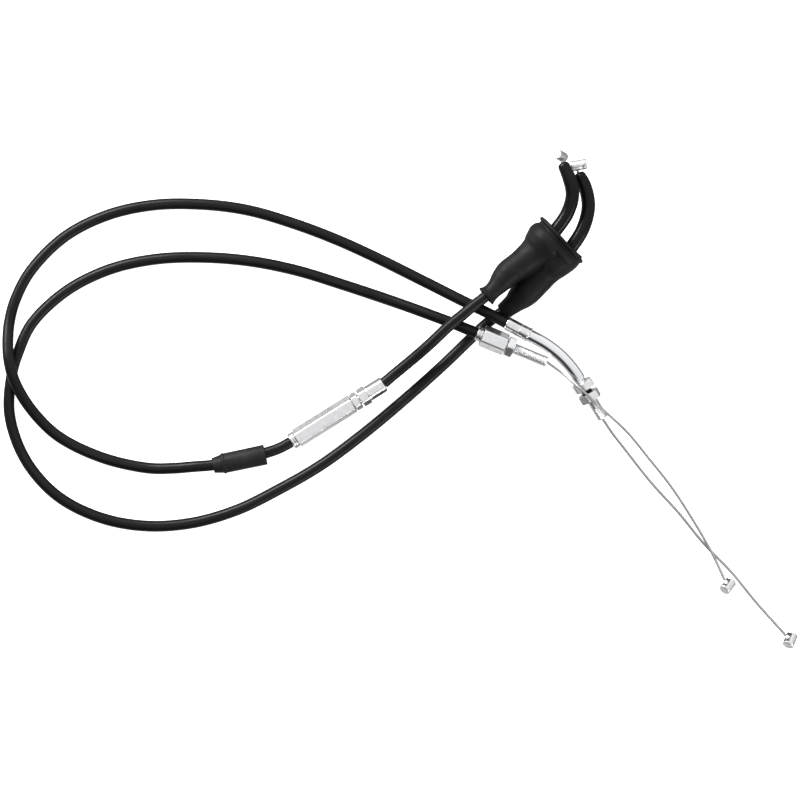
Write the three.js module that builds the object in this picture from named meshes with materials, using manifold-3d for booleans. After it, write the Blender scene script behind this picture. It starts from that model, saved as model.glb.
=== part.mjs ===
// Motorcycle throttle cable pair: a pull cable with an in-line adjuster and a return cable.
// Units are millimetres, +Z is up, and the pair lies on the plane z = 0 as it comes out of its bag.
import * as THREE from 'three';
import { mergeVertices } from 'three/addons/utils/BufferGeometryUtils.js';
import Module from 'manifold-3d';

// ---------- driving dimensions ----------
const CENTRE = [0.076, 0.45, -0.135]; // the pair's bottom middle in drawing axes, moved to the origin
const GAP = 0.3; // clearance between neighbouring solids
const PIPE_SIDES = 10;
const ROUND = 20; // sides of turned pieces

const CASING = { outer: 3, bore: 2.25, step: 11 }; // radii, and the length of one tube step
const LINER = { outer: 1.9, bore: 1.6 };
const WIRE = 0.75; // radius of the stranded inner wire
const THREAD = 3; // M6 major radius
const STRAND_STEP = 9; // length of one step of a strand inside its casing
const WIRE_BORE = 1.5; // radius of the wire passage through fittings
const TUBE = 3.4; // outer radius of the smooth bent tube above its thread
const NUT = { flats: 10.8, length: 4.6, bore: 3.35 };
const NIPPLE = { radius: 3.1, length: 7.4 }; // carburettor ends
const THROTTLE_NIPPLE = { radius: 2.8, length: 8.6 };
const MOULDED = { outer: 3.75, bore: 1.7 }; // throttle elbows
const END_CAP = { outer: 3.7, seat: 4 }; // ferrule where a casing meets its elbow

// ---------- routes, chosen on the real lie of the cables: x, y, z of the centre line ----------
const UPPER_ROUTE = [
  [57.9, 67.9, 15.3], [54.2, 64.1, 15.5], [49.9, 59.2, 15.9], [45.4, 55.1, 16.5],
  [38.3, 49.6, 17.4], [33.6, 45.6, 17.9], [28.8, 41.8, 18], [24.2, 37.7, 17.5], [15.2, 29.2, 15],
  [5.8, 21.1, 11.4], [-3.3, 13.6, 8.9], [-8.05, 9.55, 8.4],
];
const LOWER_ROUTE = [
  [-59.2, -22.95, 4.75], [-65, -26, 5.2], [-72.1, -28.4, 5.6], [-86, -32.4, 5.6],
  [-100.3, -34.9, 5.6], [-110.3, -35.7, 5.5], [-122, -36.6, 4.4], [-135, -36.5, 3.2],
  [-159.5, -31, 3], [-182.5, -20, 3], [-194.5, -9, 4.3], [-203, 3, 7.3], [-207.5, 13, 9.6],
  [-209.4, 21, 9.6], [-210.2, 30, 7.3], [-209.5, 42, 3.8], [-206.3, 54, 3], [-198, 69.5, 3],
  [-180, 87.5, 3], [-157.5, 99, 3], [-133, 104.5, 3], [-107.5, 105, 3], [-82.5, 102, 3],
  [-58, 95, 3], [-34, 86, 3.2], [-11, 75.5, 4.2], [12, 64, 6.4], [34.5, 52.6, 10],
  [46.5, 46.8, 10.8], [56.8, 41.3, 10.7],
];
const RETURN_ROUTE = [
  [67.1, 57.6, 7.6], [60.6, 51.9, 6.1], [54.9, 47.4, 4.8], [49.4, 43.4, 3.6], [44.4, 39.2, 3],
  [37.3, 32.4, 3], [23.5, 19.1, 3], [-2.5, -4, 3], [-22, -20, 3], [-42.5, -35, 3],
  [-65, -48, 3], [-87.5, -59, 3], [-112, -66, 3], [-137.5, -67.5, 3], [-162.5, -62.5, 3],
  [-185, -50.5, 3], [-201.5, -31, 3], [-209.5, -7.5, 3], [-208.2, 14, 3], [-205, 25, 3],
  [-197.5, 41, 3], [-179, 58.5, 3], [-156, 70, 3], [-131.5, 75.5, 3], [-106, 76.5, 3],
  [-80.5, 74.5, 3], [-55.5, 69.5, 3], [-31, 62, 3.1], [-7, 54, 4.8], [10.6, 47.7, 8.4],
  [17, 45.3, 9.8], [28.4, 41, 11.5], [34.7, 38.4, 11.8], [40.2, 36.2, 11.5],
];
const PULL_WIRE_ROUTE = [
  [108.9, -10.4, 3.7], [113.5, -17.2, 2.7], [121.5, -27.5, 1.5], [135, -44.5, 1],
  [149.5, -60.5, 1], [163, -77, 1], [178, -92.5, 1], [191.5, -109, 2], [206.4, -125.7, 4.5],
];
const RETURN_WIRE_ROUTE = [
  [78.95, 20.15, 8.65], [87, 14.4, 10], [93, 9, 13.5], [97, 5.4, 14.9], [100.2, 2.6, 14.6],
  [104.5, -1.6, 13.3], [110, -6.4, 10.6], [122, -17.5, 6.6], [134, -32, 4], [145.5, -46.5, 3.1],
  [156, -62.5, 2.9], [165.5, -78.5, 2.9], [170, -87.5, 3.4], [173.95, -96.1, 4.45],
];
const PULL_ELBOW_ROUTE = [
  [65.9, 74, 14.9], [76.6, 83.6, 14.6], [84.7, 92.7, 14.5], [89.6, 100.2, 15.2],
  [92.1, 109.3, 16.4], [90.7, 117.6, 17.2], [86.8, 126.8, 15.8],
];
const RETURN_ELBOW_ROUTE = [
  [73.9, 65.2, 8.7], [84.7, 73.4, 10], [92.7, 83.1, 11], [98.1, 92.2, 11.3],
  [100.8, 102.9, 10.3], [100, 111, 9.2], [97.9, 117, 8.9], [95.3, 121.6, 9.9],
];

// ---------- straight hardware: where each axis starts and where it points ----------
const INLINE = { start: [-55.4, -20.55, 5], heading: 32, rise: 0.06 };
const RETURN_END = { start: [44.1, 34.6, 11.2], heading: -22.5, rise: -0.067 };
const PULL_END = { start: [57.1, 41.2, 10.7], heading: -27.9, rise: 0 };
const PULL_THROTTLE_EXIT = [-0.23, 0.908, -0.35];
const RETURN_THROTTLE_EXIT = [-0.17, 0.925, 0.34];

// ---------- helpers ----------
const wasm = await Module();
wasm.setup();
const vec = (p) => new THREE.Vector3(...p);

function toSolid(geometry) {
  const bare = geometry.clone();
  bare.deleteAttribute('normal');
  bare.deleteAttribute('uv');
  const merged = mergeVertices(bare, 1e-4);
  return new wasm.Manifold(new wasm.Mesh({
    numProp: 3,
    vertProperties: new Float32Array(merged.attributes.position.array),
    triVerts: new Uint32Array(merged.index.array),
  }));
}

function toGeometry(solid) {
  const mesh = solid.getMesh();
  const geometry = new THREE.BufferGeometry();
  geometry.setAttribute('position', new THREE.BufferAttribute(mesh.vertProperties, 3));
  geometry.setIndex(new THREE.BufferAttribute(mesh.triVerts, 1));
  return geometry;
}

const join = (first, ...rest) => toGeometry(rest.reduce((sum, g) => sum.add(toSolid(g)), toSolid(first)));
const cut = (first, ...rest) => toGeometry(rest.reduce((sum, g) => sum.subtract(toSolid(g)), toSolid(first)));
const common = (first, second) => toGeometry(toSolid(first).intersect(toSolid(second)));

// A regular polygon in the XY plane; turned so that hexagons have one flat facing +Y.
function polygon(radius, sides, path = new THREE.Shape()) {
  const corners = Array.from({ length: sides }, (_, i) => {
    const angle = (2 * Math.PI * i) / sides;
    return new THREE.Vector2(radius * Math.cos(angle), radius * Math.sin(angle));
  });
  return path.setFromPoints(corners);
}

function ringShape(outer, bore, sides) {
  const shape = polygon(outer, sides);
  if (bore) shape.holes.push(polygon(bore, sides, new THREE.Path()));
  return shape;
}

// A tube or rod along a curve.
function alongCurve(curve, outer, bore, step, sides = PIPE_SIDES) {
  const steps = Math.max(2, Math.round(curve.getLength() / step));
  return new THREE.ExtrudeGeometry(ringShape(outer, bore, sides), { steps, extrudePath: curve });
}

const smooth = (points) => new THREE.CatmullRomCurve3(points.map(vec), false, 'centripetal');

// A turned piece about Z from [height, radius] pairs; the profile closes on itself or on the axis.
function turned(profile, sides = ROUND) {
  const points = profile.map(([height, radius]) => new THREE.Vector2(radius, height));
  return new THREE.LatheGeometry(points, sides).rotateX(Math.PI / 2);
}

// A hollow turned piece: outer [height, radius] pairs from bottom to top, and one bore.
function turnedRing(outside, bore, sides = ROUND) {
  const low = outside[0][0];
  const high = outside[outside.length - 1][0];
  return turned([...outside, [high, bore], [low, bore], outside[0]], sides);
}

// A hexagon bar about Z with turned chamfers at both ends and a round bore.
function hexagon(low, high, flats, bore) {
  const corner = flats / Math.sqrt(3);
  const bar = new THREE.ExtrudeGeometry(polygon(corner, 6), { depth: high - low, bevelEnabled: false });
  bar.translate(0, 0, low);
  const bevel = corner - flats / 2;
  const rim = flats / 2 + bevel * 0.15;
  const drop = bevel * 0.5;
  const blank = turnedRing([
    [low, rim], [low + drop, corner + 0.05], [high - drop, corner + 0.05], [high, rim],
  ], bore);
  return common(bar, blank);
}

// Places a piece so that its own Z runs along direction, and its own Y faces as far up as it can.
function place(geometry, name, origin, direction, look) {
  const z = vec(direction).normalize();
  const x = new THREE.Vector3().crossVectors(new THREE.Vector3(0, 0, 1), z).normalize().negate();
  const y = new THREE.Vector3().crossVectors(z, x);
  const mesh = named(geometry, name, look);
  mesh.quaternion.setFromRotationMatrix(new THREE.Matrix4().makeBasis(x, y, z));
  mesh.position.copy(vec(origin));
  return mesh;
}

function named(geometry, name, [color, roughness, metalness]) {
  const mesh = new THREE.Mesh(geometry, new THREE.MeshStandardMaterial({ color, roughness, metalness }));
  mesh.name = name;
  return mesh;
}

function axisOf({ start, heading, rise }) {
  const angle = THREE.MathUtils.degToRad(heading);
  const direction = new THREE.Vector3(Math.cos(angle), Math.sin(angle), rise).normalize();
  return { start: vec(start), direction, at: (s) => vec(start).addScaledVector(direction, s) };
}

const BLACK_RUBBER = [0x1c1c1d, 0.75, 0];
const BLACK_JACKET = [0x151516, 0.45, 0];
const BLACK_MOULDED = [0x18181a, 0.4, 0];
const ZINC = [0xc6c8cc, 0.32, 1];
const CHROME = [0xdadde2, 0.12, 1];
const CAST_END = [0xbfc1c4, 0.45, 1];
const STRAND = [0xb4b6ba, 0.38, 1];
const NYLON = [0xe4e2da, 0.5, 0];

// ---------- pull cable ----------
const inline = axisOf(INLINE);
const pullEnd = axisOf(PULL_END);

function adjusterScrew() {
  const shank = { low: 12, flange: 40.4, crimp: 44.8, end: 55.2 };
  const bar = turnedRing([
    [shank.low, THREAD], [shank.flange + 1, THREAD], [shank.flange + 1, 4.35], [shank.end - 0.5, 4.35],
    [shank.end, 4],
  ], WIRE_BORE);
  return join(bar, hexagon(shank.flange, shank.crimp, 9.3, WIRE_BORE));
}

function adjusterBarrel() {
  const length = 35.5;
  const seat = turned([[-1, 0], [-1, 2.95], [5, 2.95], [5, 0]]);
  const threaded = turned([[6.5, 0], [6.5, 3.3], [length + 1, 3.3], [length + 1, 0]]);
  return cut(hexagon(0, length, 9.4, WIRE_BORE), seat, threaded);
}

function adjusterCollar() {
  return turnedRing([
    [-3.3, 4.3], [-2.9, 4.6], [-0.7, 4.6], [-GAP, 4.2], [-GAP, 2.6], [4.4, 2.6],
  ], WIRE_BORE);
}

function adjusterSleeve() {
  return turned([
    [0, 4.15], [5.2, 5.1], [5.5, 5.6], [6.6, 5.6], [6.9, 5.45], [28.4, 5.5], [28.8, 5.2],
    [28.8, 4.75], [5.8, 4.75], [5.2, 3.6], [0, 3.6], [0, 4.15],
  ], 16);
}

// Straight, bend and straight again; the bend's plane dips so that the threaded end comes down.
function carbElbowCurve() {
  const start = pullEnd.at(13.8 + GAP);
  const before = pullEnd.direction;
  const after = axisOf({ start: [0, 0, 0], heading: -58.7, rise: -0.17 }).direction;
  const bend = start.clone().addScaledVector(before, 4.5);
  const corner = start.clone().addScaledVector(before, 20.5);
  const straight = corner.clone().addScaledVector(after, 16);
  const tip = corner.clone().addScaledVector(after, 41.3);
  const tube = new THREE.CurvePath();
  tube.add(new THREE.LineCurve3(start, bend));
  tube.add(new THREE.QuadraticBezierCurve3(bend, corner, straight));
  const path = new THREE.CurvePath();
  tube.curves.forEach((curve) => path.add(curve));
  path.add(new THREE.LineCurve3(straight, tip));
  const passage = new THREE.CurvePath();
  passage.add(new THREE.LineCurve3(start.clone().addScaledVector(before, -1), bend));
  passage.add(tube.curves[1]);
  passage.add(new THREE.LineCurve3(straight, tip.clone().addScaledVector(after, 1)));
  return { path, tube, passage, straight, tip, after };
}

const carbElbow = carbElbowCurve();

// The smooth tube with its thinner threaded end, and one wire passage through both.
function carbElbowTube() {
  const { tube, passage, straight, tip, after } = carbElbow;
  const inside = straight.clone().addScaledVector(after, -2);
  const thread = alongCurve(new THREE.LineCurve3(inside, tip), THREAD, 0, 30, 14);
  return cut(join(alongCurve(tube, TUBE, 0, 4, 14), thread), alongCurve(passage, 1.8, 0, 4, 12));
}

function carbNut(name, fromTip) {
  const middle = carbElbow.tip.clone().addScaledVector(carbElbow.after, -fromTip);
  const half = NUT.length / 2;
  return place(hexagon(-half, half, NUT.flats, NUT.bore), name, middle.toArray(),
    carbElbow.after.toArray(), ZINC);
}

// ---------- return cable ----------
const returnEnd = axisOf(RETURN_END);

function returnCollar() {
  return turnedRing([
    [-3.4, 3.6], [-3.1, 3.95], [-2.1, 3.95], [-1.9, 3.5], [-1.5, 3.5], [-1.3, 3.95], [-GAP, 3.95],
  ], WIRE_BORE);
}

function returnAdjuster() {
  const rod = turnedRing([[12, THREAD], [36.8, THREAD], [37.4, 2.5]], WIRE_BORE, 16);
  return join(rod, hexagon(0, 13.6, NUT.flats, WIRE_BORE));
}

// ---------- pieces at the throttle ----------
function throttleNipple(name, tip, exit, axis, along) {
  const centre = vec(tip).addScaledVector(vec(exit).normalize(), THROTTLE_NIPPLE.radius + 1.4);
  const { radius, length } = THROTTLE_NIPPLE;
  const half = length / 2;
  const barrel = turned([[-half, 0], [-half, radius - 0.3], [0.3 - half, radius],
    [half - 0.3, radius], [half, radius - 0.3], [half, 0]], 16).translate(0, 0, along);
  return place(barrel, name, centre.toArray(), axis, CAST_END);
}

function carbNipple(name, centre, axis) {
  const { radius, length } = NIPPLE;
  const half = length / 2;
  const barrel = turned([[-half, 0], [-half, radius - 0.4], [0.4 - half, radius],
    [half - 0.4, radius], [half, radius - 0.4], [half, 0]], 16);
  return place(barrel, name, centre, axis, CAST_END);
}

// ---------- boot ----------
// The boot is measured from the middle of its mouth: u towards the legs, v across, z up.
const BOOT = { mouth: [87.1, 86.3], back: [-0.737, -0.676], across: [0.676, -0.737], wall: 1.6 };
const bootPoint = (u, v, z) => [
  BOOT.mouth[0] + u * BOOT.back[0] + v * BOOT.across[0],
  BOOT.mouth[1] + u * BOOT.back[1] + v * BOOT.across[1],
  z,
];
// Each leg runs from the mouth to its cable: [u, v, z, radius].
const PULL_LEG = [
  [0, -4.2, 14.8, 11.4], [3, -4.3, 14.8, 11.7], [8.8, -4.4, 14.8, 12.1], [12.5, -4.5, 14.8, 10.7],
  [16, -4.5, 14.8, 9.1], [25.8, -5.2, 15, 7.6], [33.4, -6.1, 15.3, 7.2], [36.5, -5.9, 15.4, 6.9],
  [39.5, -5.6, 15.6, 6.3], [43, -5.1, 15.9, 5.3], [46.5, -4.9, 16.1, 4.7],
  [49.3, -4.9, 16.4, 5], [51.3, -5, 16.6, 6],
];
const RETURN_LEG = [
  [0, 4.2, 12.3, 11.4], [6, 5, 12, 11.3], [10.5, 5.2, 11.4, 10.7], [18, 5.6, 9.9, 9.2],
  [25.7, 6.9, 8.8, 8.2], [34, 7.7, 7.9, 7.7], [39, 7.6, 7.1, 6.8], [43, 7.6, 6.3, 5.6],
  [50, 7.2, 5, 4.6],
];

// A round limb of changing radius: rings of one size in a tube, then scaled about their centres.
function limb(stations, change, stretch, sides = 16) {
  const ends = stations.map(([u, v, z]) => vec(bootPoint(u, v, z)));
  const last = ends.length - 1;
  const out = ends[0].clone().sub(ends[1]).normalize();
  const back = ends[last].clone().sub(ends[last - 1]).normalize();
  ends[0].addScaledVector(out, stretch);
  ends[last].addScaledVector(back, stretch);
  const rings = ends.map((centre, i) => {
    const before = ends[Math.max(0, i - 1)];
    const after = ends[Math.min(last, i + 1)];
    const heading = after.clone().sub(before).normalize();
    const side = new THREE.Vector3().crossVectors(heading, new THREE.Vector3(0, 0, 1)).normalize();
    const top = new THREE.Vector3().crossVectors(side, heading);
    const radius = stations[i][3] + change;
    return Array.from({ length: sides }, (_, k) => {
      const angle = (2 * Math.PI * k) / sides;
      return centre.clone().addScaledVector(side, radius * Math.cos(angle))
        .addScaledVector(top, radius * Math.sin(angle));
    });
  });
  return skin(rings, ends[0], ends[last]);
}

// A closed body over rings of equal counts, with a fan at each end.
function skin(rings, first, final) {
  const sides = rings[0].length;
  const points = [...rings.flat(), first, final].flatMap((p) => p.toArray());
  const faces = [];
  const firstIndex = rings.length * sides;
  for (let k = 0; k < sides; k += 1) {
    const next = (k + 1) % sides;
    for (let i = 0; i + 1 < rings.length; i += 1) {
      const [a, b, c, d] = [i * sides + k, i * sides + next, (i + 1) * sides + next, (i + 1) * sides + k];
      faces.push(a, c, b, a, d, c);
    }
    const end = (rings.length - 1) * sides;
    faces.push(firstIndex, k, next, firstIndex + 1, end + next, end + k);
  }
  const geometry = new THREE.BufferGeometry();
  geometry.setAttribute('position', new THREE.Float32BufferAttribute(points, 3));
  geometry.setIndex(faces);
  return geometry;
}

// The mouth's flat-sided outline between its two round ends, as a short block along the boot.
function mouthBlock(low, high, change) {
  const [a, b] = [PULL_LEG[0], RETURN_LEG[0]];
  const radius = a[3] + change;
  const outline = new THREE.Shape();
  const lean = Math.atan2(b[2] - a[2], b[1] - a[1]);
  const ends = [[b, -Math.PI / 2], [a, Math.PI / 2]];
  const points = ends.flatMap(([[, v, z], from]) => Array.from({ length: 9 }, (_, i) => {
    const angle = lean + from + (Math.PI * i) / 8;
    return new THREE.Vector2(v + radius * Math.cos(angle), z + radius * Math.sin(angle));
  }));
  outline.setFromPoints(points);
  const block = new THREE.ExtrudeGeometry(outline, { depth: high - low, bevelEnabled: false });
  block.translate(0, 0, low);
  const across = new THREE.Vector3(...BOOT.across, 0);
  const back = new THREE.Vector3(...BOOT.back, 0);
  const basis = new THREE.Matrix4().makeBasis(across, new THREE.Vector3(0, 0, 1), back);
  block.applyMatrix4(basis.setPosition(...BOOT.mouth, 0));
  return block;
}

function boot() {
  const lip = mouthBlock(0, 2.3, 0.9);
  const outer = join(lip, mouthBlock(0, 9, 0), limb(PULL_LEG, 0, 0), limb(RETURN_LEG, 0, 0));
  const hollow = join(
    mouthBlock(-2, 9, -BOOT.wall),
    limb(PULL_LEG, -BOOT.wall, 2),
    limb(RETURN_LEG, -BOOT.wall, 2),
  );
  const passages = join(
    alongCurve(smooth(UPPER_ROUTE.slice(0, 6)), 3.6, 0, 6, 12),
    alongCurve(smooth(RETURN_ROUTE.slice(0, 5)), 3.6, 0, 6, 12),
  );
  return cut(outer, hollow, passages);
}

// ---------- assembly ----------
const group = new THREE.Group();
const upperCurve = smooth(UPPER_ROUTE);
const lowerCurve = smooth(LOWER_ROUTE);
const returnCurve = smooth(RETURN_ROUTE);
const pullElbowCurve = smooth(PULL_ELBOW_ROUTE);
const returnElbowCurve = smooth(RETURN_ELBOW_ROUTE);

function casing(curve, name, step = CASING.step) {
  return named(alongCurve(curve, CASING.outer, CASING.bore, step), name, BLACK_JACKET);
}

function liner(curve, name, step = CASING.step) {
  return named(alongCurve(curve, LINER.outer, LINER.bore, step, 8), name, NYLON);
}

const strand = (curve, name, step) => named(alongCurve(curve, WIRE, 0, step, 6), name, STRAND);

function elbow(curve, name) {
  return named(alongCurve(curve, MOULDED.outer, MOULDED.bore, 5, 14), name, BLACK_MOULDED);
}

function endCap(curve, elbowCurve, name) {
  const from = curve.getPoint(0);
  const to = elbowCurve.getPoint(0);
  const length = from.distanceTo(to);
  const gap = 3 * GAP; // the cap is straight and its neighbours meet it at a slight angle
  const cap = turnedRing([[gap, 3.4], [gap + 0.3, END_CAP.outer], [length - 2.2, END_CAP.outer],
    [length - 2.2, END_CAP.seat], [length - gap, END_CAP.seat]], WIRE_BORE, 14);
  return place(cap, name, from.toArray(), to.sub(from).toArray(), ZINC);
}

// The strand's hidden run through each cable, from the throttle end cap to the far fitting's tip.
const insideCap = (near, far) => vec(near[0]).lerp(vec(far[0]), 0.9).toArray();
const along = (axis, distances) => distances.map((s) => axis.at(s).toArray());
const pullWireCurve = smooth([
  insideCap(UPPER_ROUTE, PULL_ELBOW_ROUTE),
  ...UPPER_ROUTE,
  ...along(inline, [54, 44, 34, 24, 14, 4]),
  ...LOWER_ROUTE,
  ...along(pullEnd, [13]),
  ...[0.12, 0.3, 0.45, 0.6, 0.8, 1].map((t) => carbElbow.path.getPointAt(t).toArray()),
]);
const returnWireCurve = smooth([
  insideCap(RETURN_ROUTE, RETURN_ELBOW_ROUTE),
  ...RETURN_ROUTE,
  ...along(returnEnd, [6, 20, 37.4]),
]);
// The strand inside a throttle elbow, out to the side of its nipple.
const throttleWire = (route, exit) => smooth([
  ...route, vec(route.at(-1)).addScaledVector(vec(exit).normalize(), 0.8).toArray(),
]);

group.add(
  named(boot(), 'throttle_boot', BLACK_RUBBER),
  casing(upperCurve, 'pull_upper_casing', 9),
  liner(upperCurve, 'pull_upper_liner', 9),
  casing(lowerCurve, 'pull_lower_casing'),
  liner(lowerCurve, 'pull_lower_liner'),
  elbow(pullElbowCurve, 'pull_throttle_elbow'),
  endCap(upperCurve, pullElbowCurve, 'pull_throttle_ferrule'),
  place(adjusterScrew(), 'pull_adjuster_screw', INLINE.start, inline.direction.toArray(), ZINC),
  place(hexagon(35.9, 39.5, 9, NUT.bore), 'pull_adjuster_lock_nut', INLINE.start,
    inline.direction.toArray(), ZINC),
  place(adjusterBarrel(), 'pull_adjuster_barrel', INLINE.start, inline.direction.toArray(), ZINC),
  place(adjusterCollar(), 'pull_adjuster_collar', INLINE.start, inline.direction.toArray(), ZINC),
  place(adjusterSleeve(), 'adjuster_sleeve', [-100.25, -35.15, 5.6],
    axisOf({ start: [0, 0, 0], heading: 11.9, rise: 0 }).direction.toArray(), BLACK_RUBBER),
  place(turnedRing([[0, 3.65], [8.4, 3.7], [12.6, 3.8], [12.8, 4.05], [13.8, 4.05]], WIRE_BORE),
    'pull_carb_ferrule', PULL_END.start, pullEnd.direction.toArray(), ZINC),
  named(carbElbowTube(), 'pull_carb_elbow', CHROME),
  carbNut('pull_carb_nut_upper', 20.8),
  carbNut('pull_carb_nut_lower', 14),
  strand(pullWireCurve, 'pull_inner_wire', STRAND_STEP),
  strand(throttleWire(PULL_ELBOW_ROUTE, PULL_THROTTLE_EXIT), 'pull_throttle_wire', 5),
  strand(smooth(PULL_WIRE_ROUTE), 'pull_carb_wire', 10),
  carbNipple('pull_carb_nipple', [209.2, -128.7, 4.65], [-0.366, -0.785, 0.5]),
  throttleNipple('pull_throttle_nipple', PULL_ELBOW_ROUTE.at(-1), PULL_THROTTLE_EXIT,
    [-0.49, 0.21, 0.866], 0.3),
  casing(returnCurve, 'return_casing'),
  liner(returnCurve, 'return_liner'),
  elbow(returnElbowCurve, 'return_throttle_elbow'),
  endCap(returnCurve, returnElbowCurve, 'return_throttle_ferrule'),
  place(returnCollar(), 'return_carb_ferrule', RETURN_END.start, returnEnd.direction.toArray(), ZINC),
  place(returnAdjuster(), 'return_carb_adjuster', RETURN_END.start, returnEnd.direction.toArray(), ZINC),
  place(hexagon(14.3, 18.2, NUT.flats, NUT.bore).rotateZ(Math.PI / 6), 'return_lock_nut',
    RETURN_END.start, returnEnd.direction.toArray(), ZINC),
  strand(returnWireCurve, 'return_inner_wire', STRAND_STEP),
  strand(throttleWire(RETURN_ELBOW_ROUTE, RETURN_THROTTLE_EXIT), 'return_throttle_wire', 5),
  strand(smooth(RETURN_WIRE_ROUTE), 'return_carb_wire', 10),
  carbNipple('return_carb_nipple', [175.8, -99.6, 4.65], [-0.557, -0.663, 0.5]),
  throttleNipple('return_throttle_nipple', RETURN_ELBOW_ROUTE.at(-1), RETURN_THROTTLE_EXIT,
    [0.983, 0.181, 0], 1.2),
);
group.position.copy(vec(CENTRE)).negate();

export default group;
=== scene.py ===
"""Looks of a motorcycle throttle cable pair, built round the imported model.

Shapes are worked out in millimetres on the drawing's own axes, as the cable routes are, and
moved to the row frame in metres when a mesh is made.
"""
import math

import bpy
import numpy as np
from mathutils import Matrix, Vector


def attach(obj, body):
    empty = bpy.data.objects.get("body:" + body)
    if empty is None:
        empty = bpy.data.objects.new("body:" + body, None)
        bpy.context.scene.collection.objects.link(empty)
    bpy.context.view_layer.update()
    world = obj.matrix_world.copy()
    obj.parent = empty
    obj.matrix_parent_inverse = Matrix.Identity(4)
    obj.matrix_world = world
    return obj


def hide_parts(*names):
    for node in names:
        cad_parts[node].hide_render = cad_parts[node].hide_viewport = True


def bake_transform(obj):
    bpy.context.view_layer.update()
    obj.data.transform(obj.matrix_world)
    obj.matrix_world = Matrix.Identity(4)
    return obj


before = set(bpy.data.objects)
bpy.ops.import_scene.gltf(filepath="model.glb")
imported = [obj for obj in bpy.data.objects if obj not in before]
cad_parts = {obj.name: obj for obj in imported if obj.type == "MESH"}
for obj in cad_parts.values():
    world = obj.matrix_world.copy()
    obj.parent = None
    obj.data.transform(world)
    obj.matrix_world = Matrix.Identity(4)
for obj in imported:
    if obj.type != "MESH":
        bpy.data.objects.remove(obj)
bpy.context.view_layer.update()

MM = 0.001
CENTRE = np.array((0.076, 0.45, -0.135))
ROOT = "cable_set"

# ---------------------------------------------------------------- routes and axes
UPPER_ROUTE = [
    (57.9, 67.9, 15.3), (54.2, 64.1, 15.5), (49.9, 59.2, 15.9), (45.4, 55.1, 16.5),
    (38.3, 49.6, 17.4), (33.6, 45.6, 17.9), (28.8, 41.8, 18), (24.2, 37.7, 17.5), (15.2, 29.2, 15),
    (5.8, 21.1, 11.4), (-3.3, 13.6, 8.9), (-8.05, 9.55, 8.4),
]
LOWER_ROUTE = [
    (-59.2, -22.95, 4.75), (-65, -26, 5.2), (-72.1, -28.4, 5.6), (-86, -32.4, 5.6),
    (-100.3, -34.9, 5.6), (-110.3, -35.7, 5.5), (-122, -36.6, 4.4), (-135, -36.5, 3.2),
    (-159.5, -31, 3), (-182.5, -20, 3), (-194.5, -9, 4.3), (-203, 3, 7.3), (-207.5, 13, 9.6),
    (-209.4, 21, 9.6), (-210.2, 30, 7.3), (-209.5, 42, 3.8), (-206.3, 54, 3), (-198, 69.5, 3),
    (-180, 87.5, 3), (-157.5, 99, 3), (-133, 104.5, 3), (-107.5, 105, 3), (-82.5, 102, 3),
    (-58, 95, 3), (-34, 86, 3.2), (-11, 75.5, 4.2), (12, 64, 6.4), (34.5, 52.6, 10),
    (46.5, 46.8, 10.8), (56.8, 41.3, 10.7),
]
RETURN_ROUTE = [
    (67.1, 57.6, 7.6), (60.6, 51.9, 6.1), (54.9, 47.4, 4.8), (49.4, 43.4, 3.6), (44.4, 39.2, 3),
    (37.3, 32.4, 3), (23.5, 19.1, 3), (-2.5, -4, 3), (-22, -20, 3), (-42.5, -35, 3), (-65, -48, 3),
    (-87.5, -59, 3), (-112, -66, 3), (-137.5, -67.5, 3), (-162.5, -62.5, 3), (-185, -50.5, 3),
    (-201.5, -31, 3), (-209.5, -7.5, 3), (-208.2, 14, 3), (-205, 25, 3), (-197.5, 41, 3),
    (-179, 58.5, 3), (-156, 70, 3), (-131.5, 75.5, 3), (-106, 76.5, 3), (-80.5, 74.5, 3),
    (-55.5, 69.5, 3), (-31, 62, 3.1), (-7, 54, 4.8), (10.6, 47.7, 8.4), (17, 45.3, 9.8),
    (28.4, 41, 11.5), (34.7, 38.4, 11.8), (40.2, 36.2, 11.5),
]
PULL_WIRE_ROUTE = [
    (108.9, -10.4, 3.7), (113.5, -17.2, 2.7), (121.5, -27.5, 1.5), (135, -44.5, 1),
    (149.5, -60.5, 1), (163, -77, 1), (178, -92.5, 1), (191.5, -109, 2), (206.4, -125.7, 4.5),
]
RETURN_WIRE_ROUTE = [
    (78.95, 20.15, 8.65), (87, 14.4, 10), (93, 9, 13.5), (97, 5.4, 14.9), (100.2, 2.6, 14.6),
    (104.5, -1.6, 13.3), (110, -6.4, 10.6), (122, -17.5, 6.6), (134, -32, 4), (145.5, -46.5, 3.1),
    (156, -62.5, 2.9), (165.5, -78.5, 2.9), (170, -87.5, 3.4), (173.95, -96.1, 4.45),
]
PULL_ELBOW_ROUTE = [
    (65.9, 74, 14.9), (76.6, 83.6, 14.6), (84.7, 92.7, 14.5), (89.6, 100.2, 15.2),
    (92.1, 109.3, 16.4), (90.7, 117.6, 17.2), (86.8, 126.8, 15.8),
]
RETURN_ELBOW_ROUTE = [
    (73.9, 65.2, 8.7), (84.7, 73.4, 10), (92.7, 83.1, 11), (98.1, 92.2, 11.3), (100.8, 102.9, 10.3),
    (100, 111, 9.2), (97.9, 117, 8.9), (95.3, 121.6, 9.9),
]
PULL_THROTTLE_EXIT = (-0.23, 0.908, -0.35)
RETURN_THROTTLE_EXIT = (-0.17, 0.925, 0.34)
INLINE = ((-55.4, -20.55, 5), 32, 0.06)
RETURN_END = ((44.1, 34.6, 11.2), -22.5, -0.067)
PULL_END = ((57.1, 41.2, 10.7), -27.9, 0)
ELBOW_TIP = (-58.7, -0.17)

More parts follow.
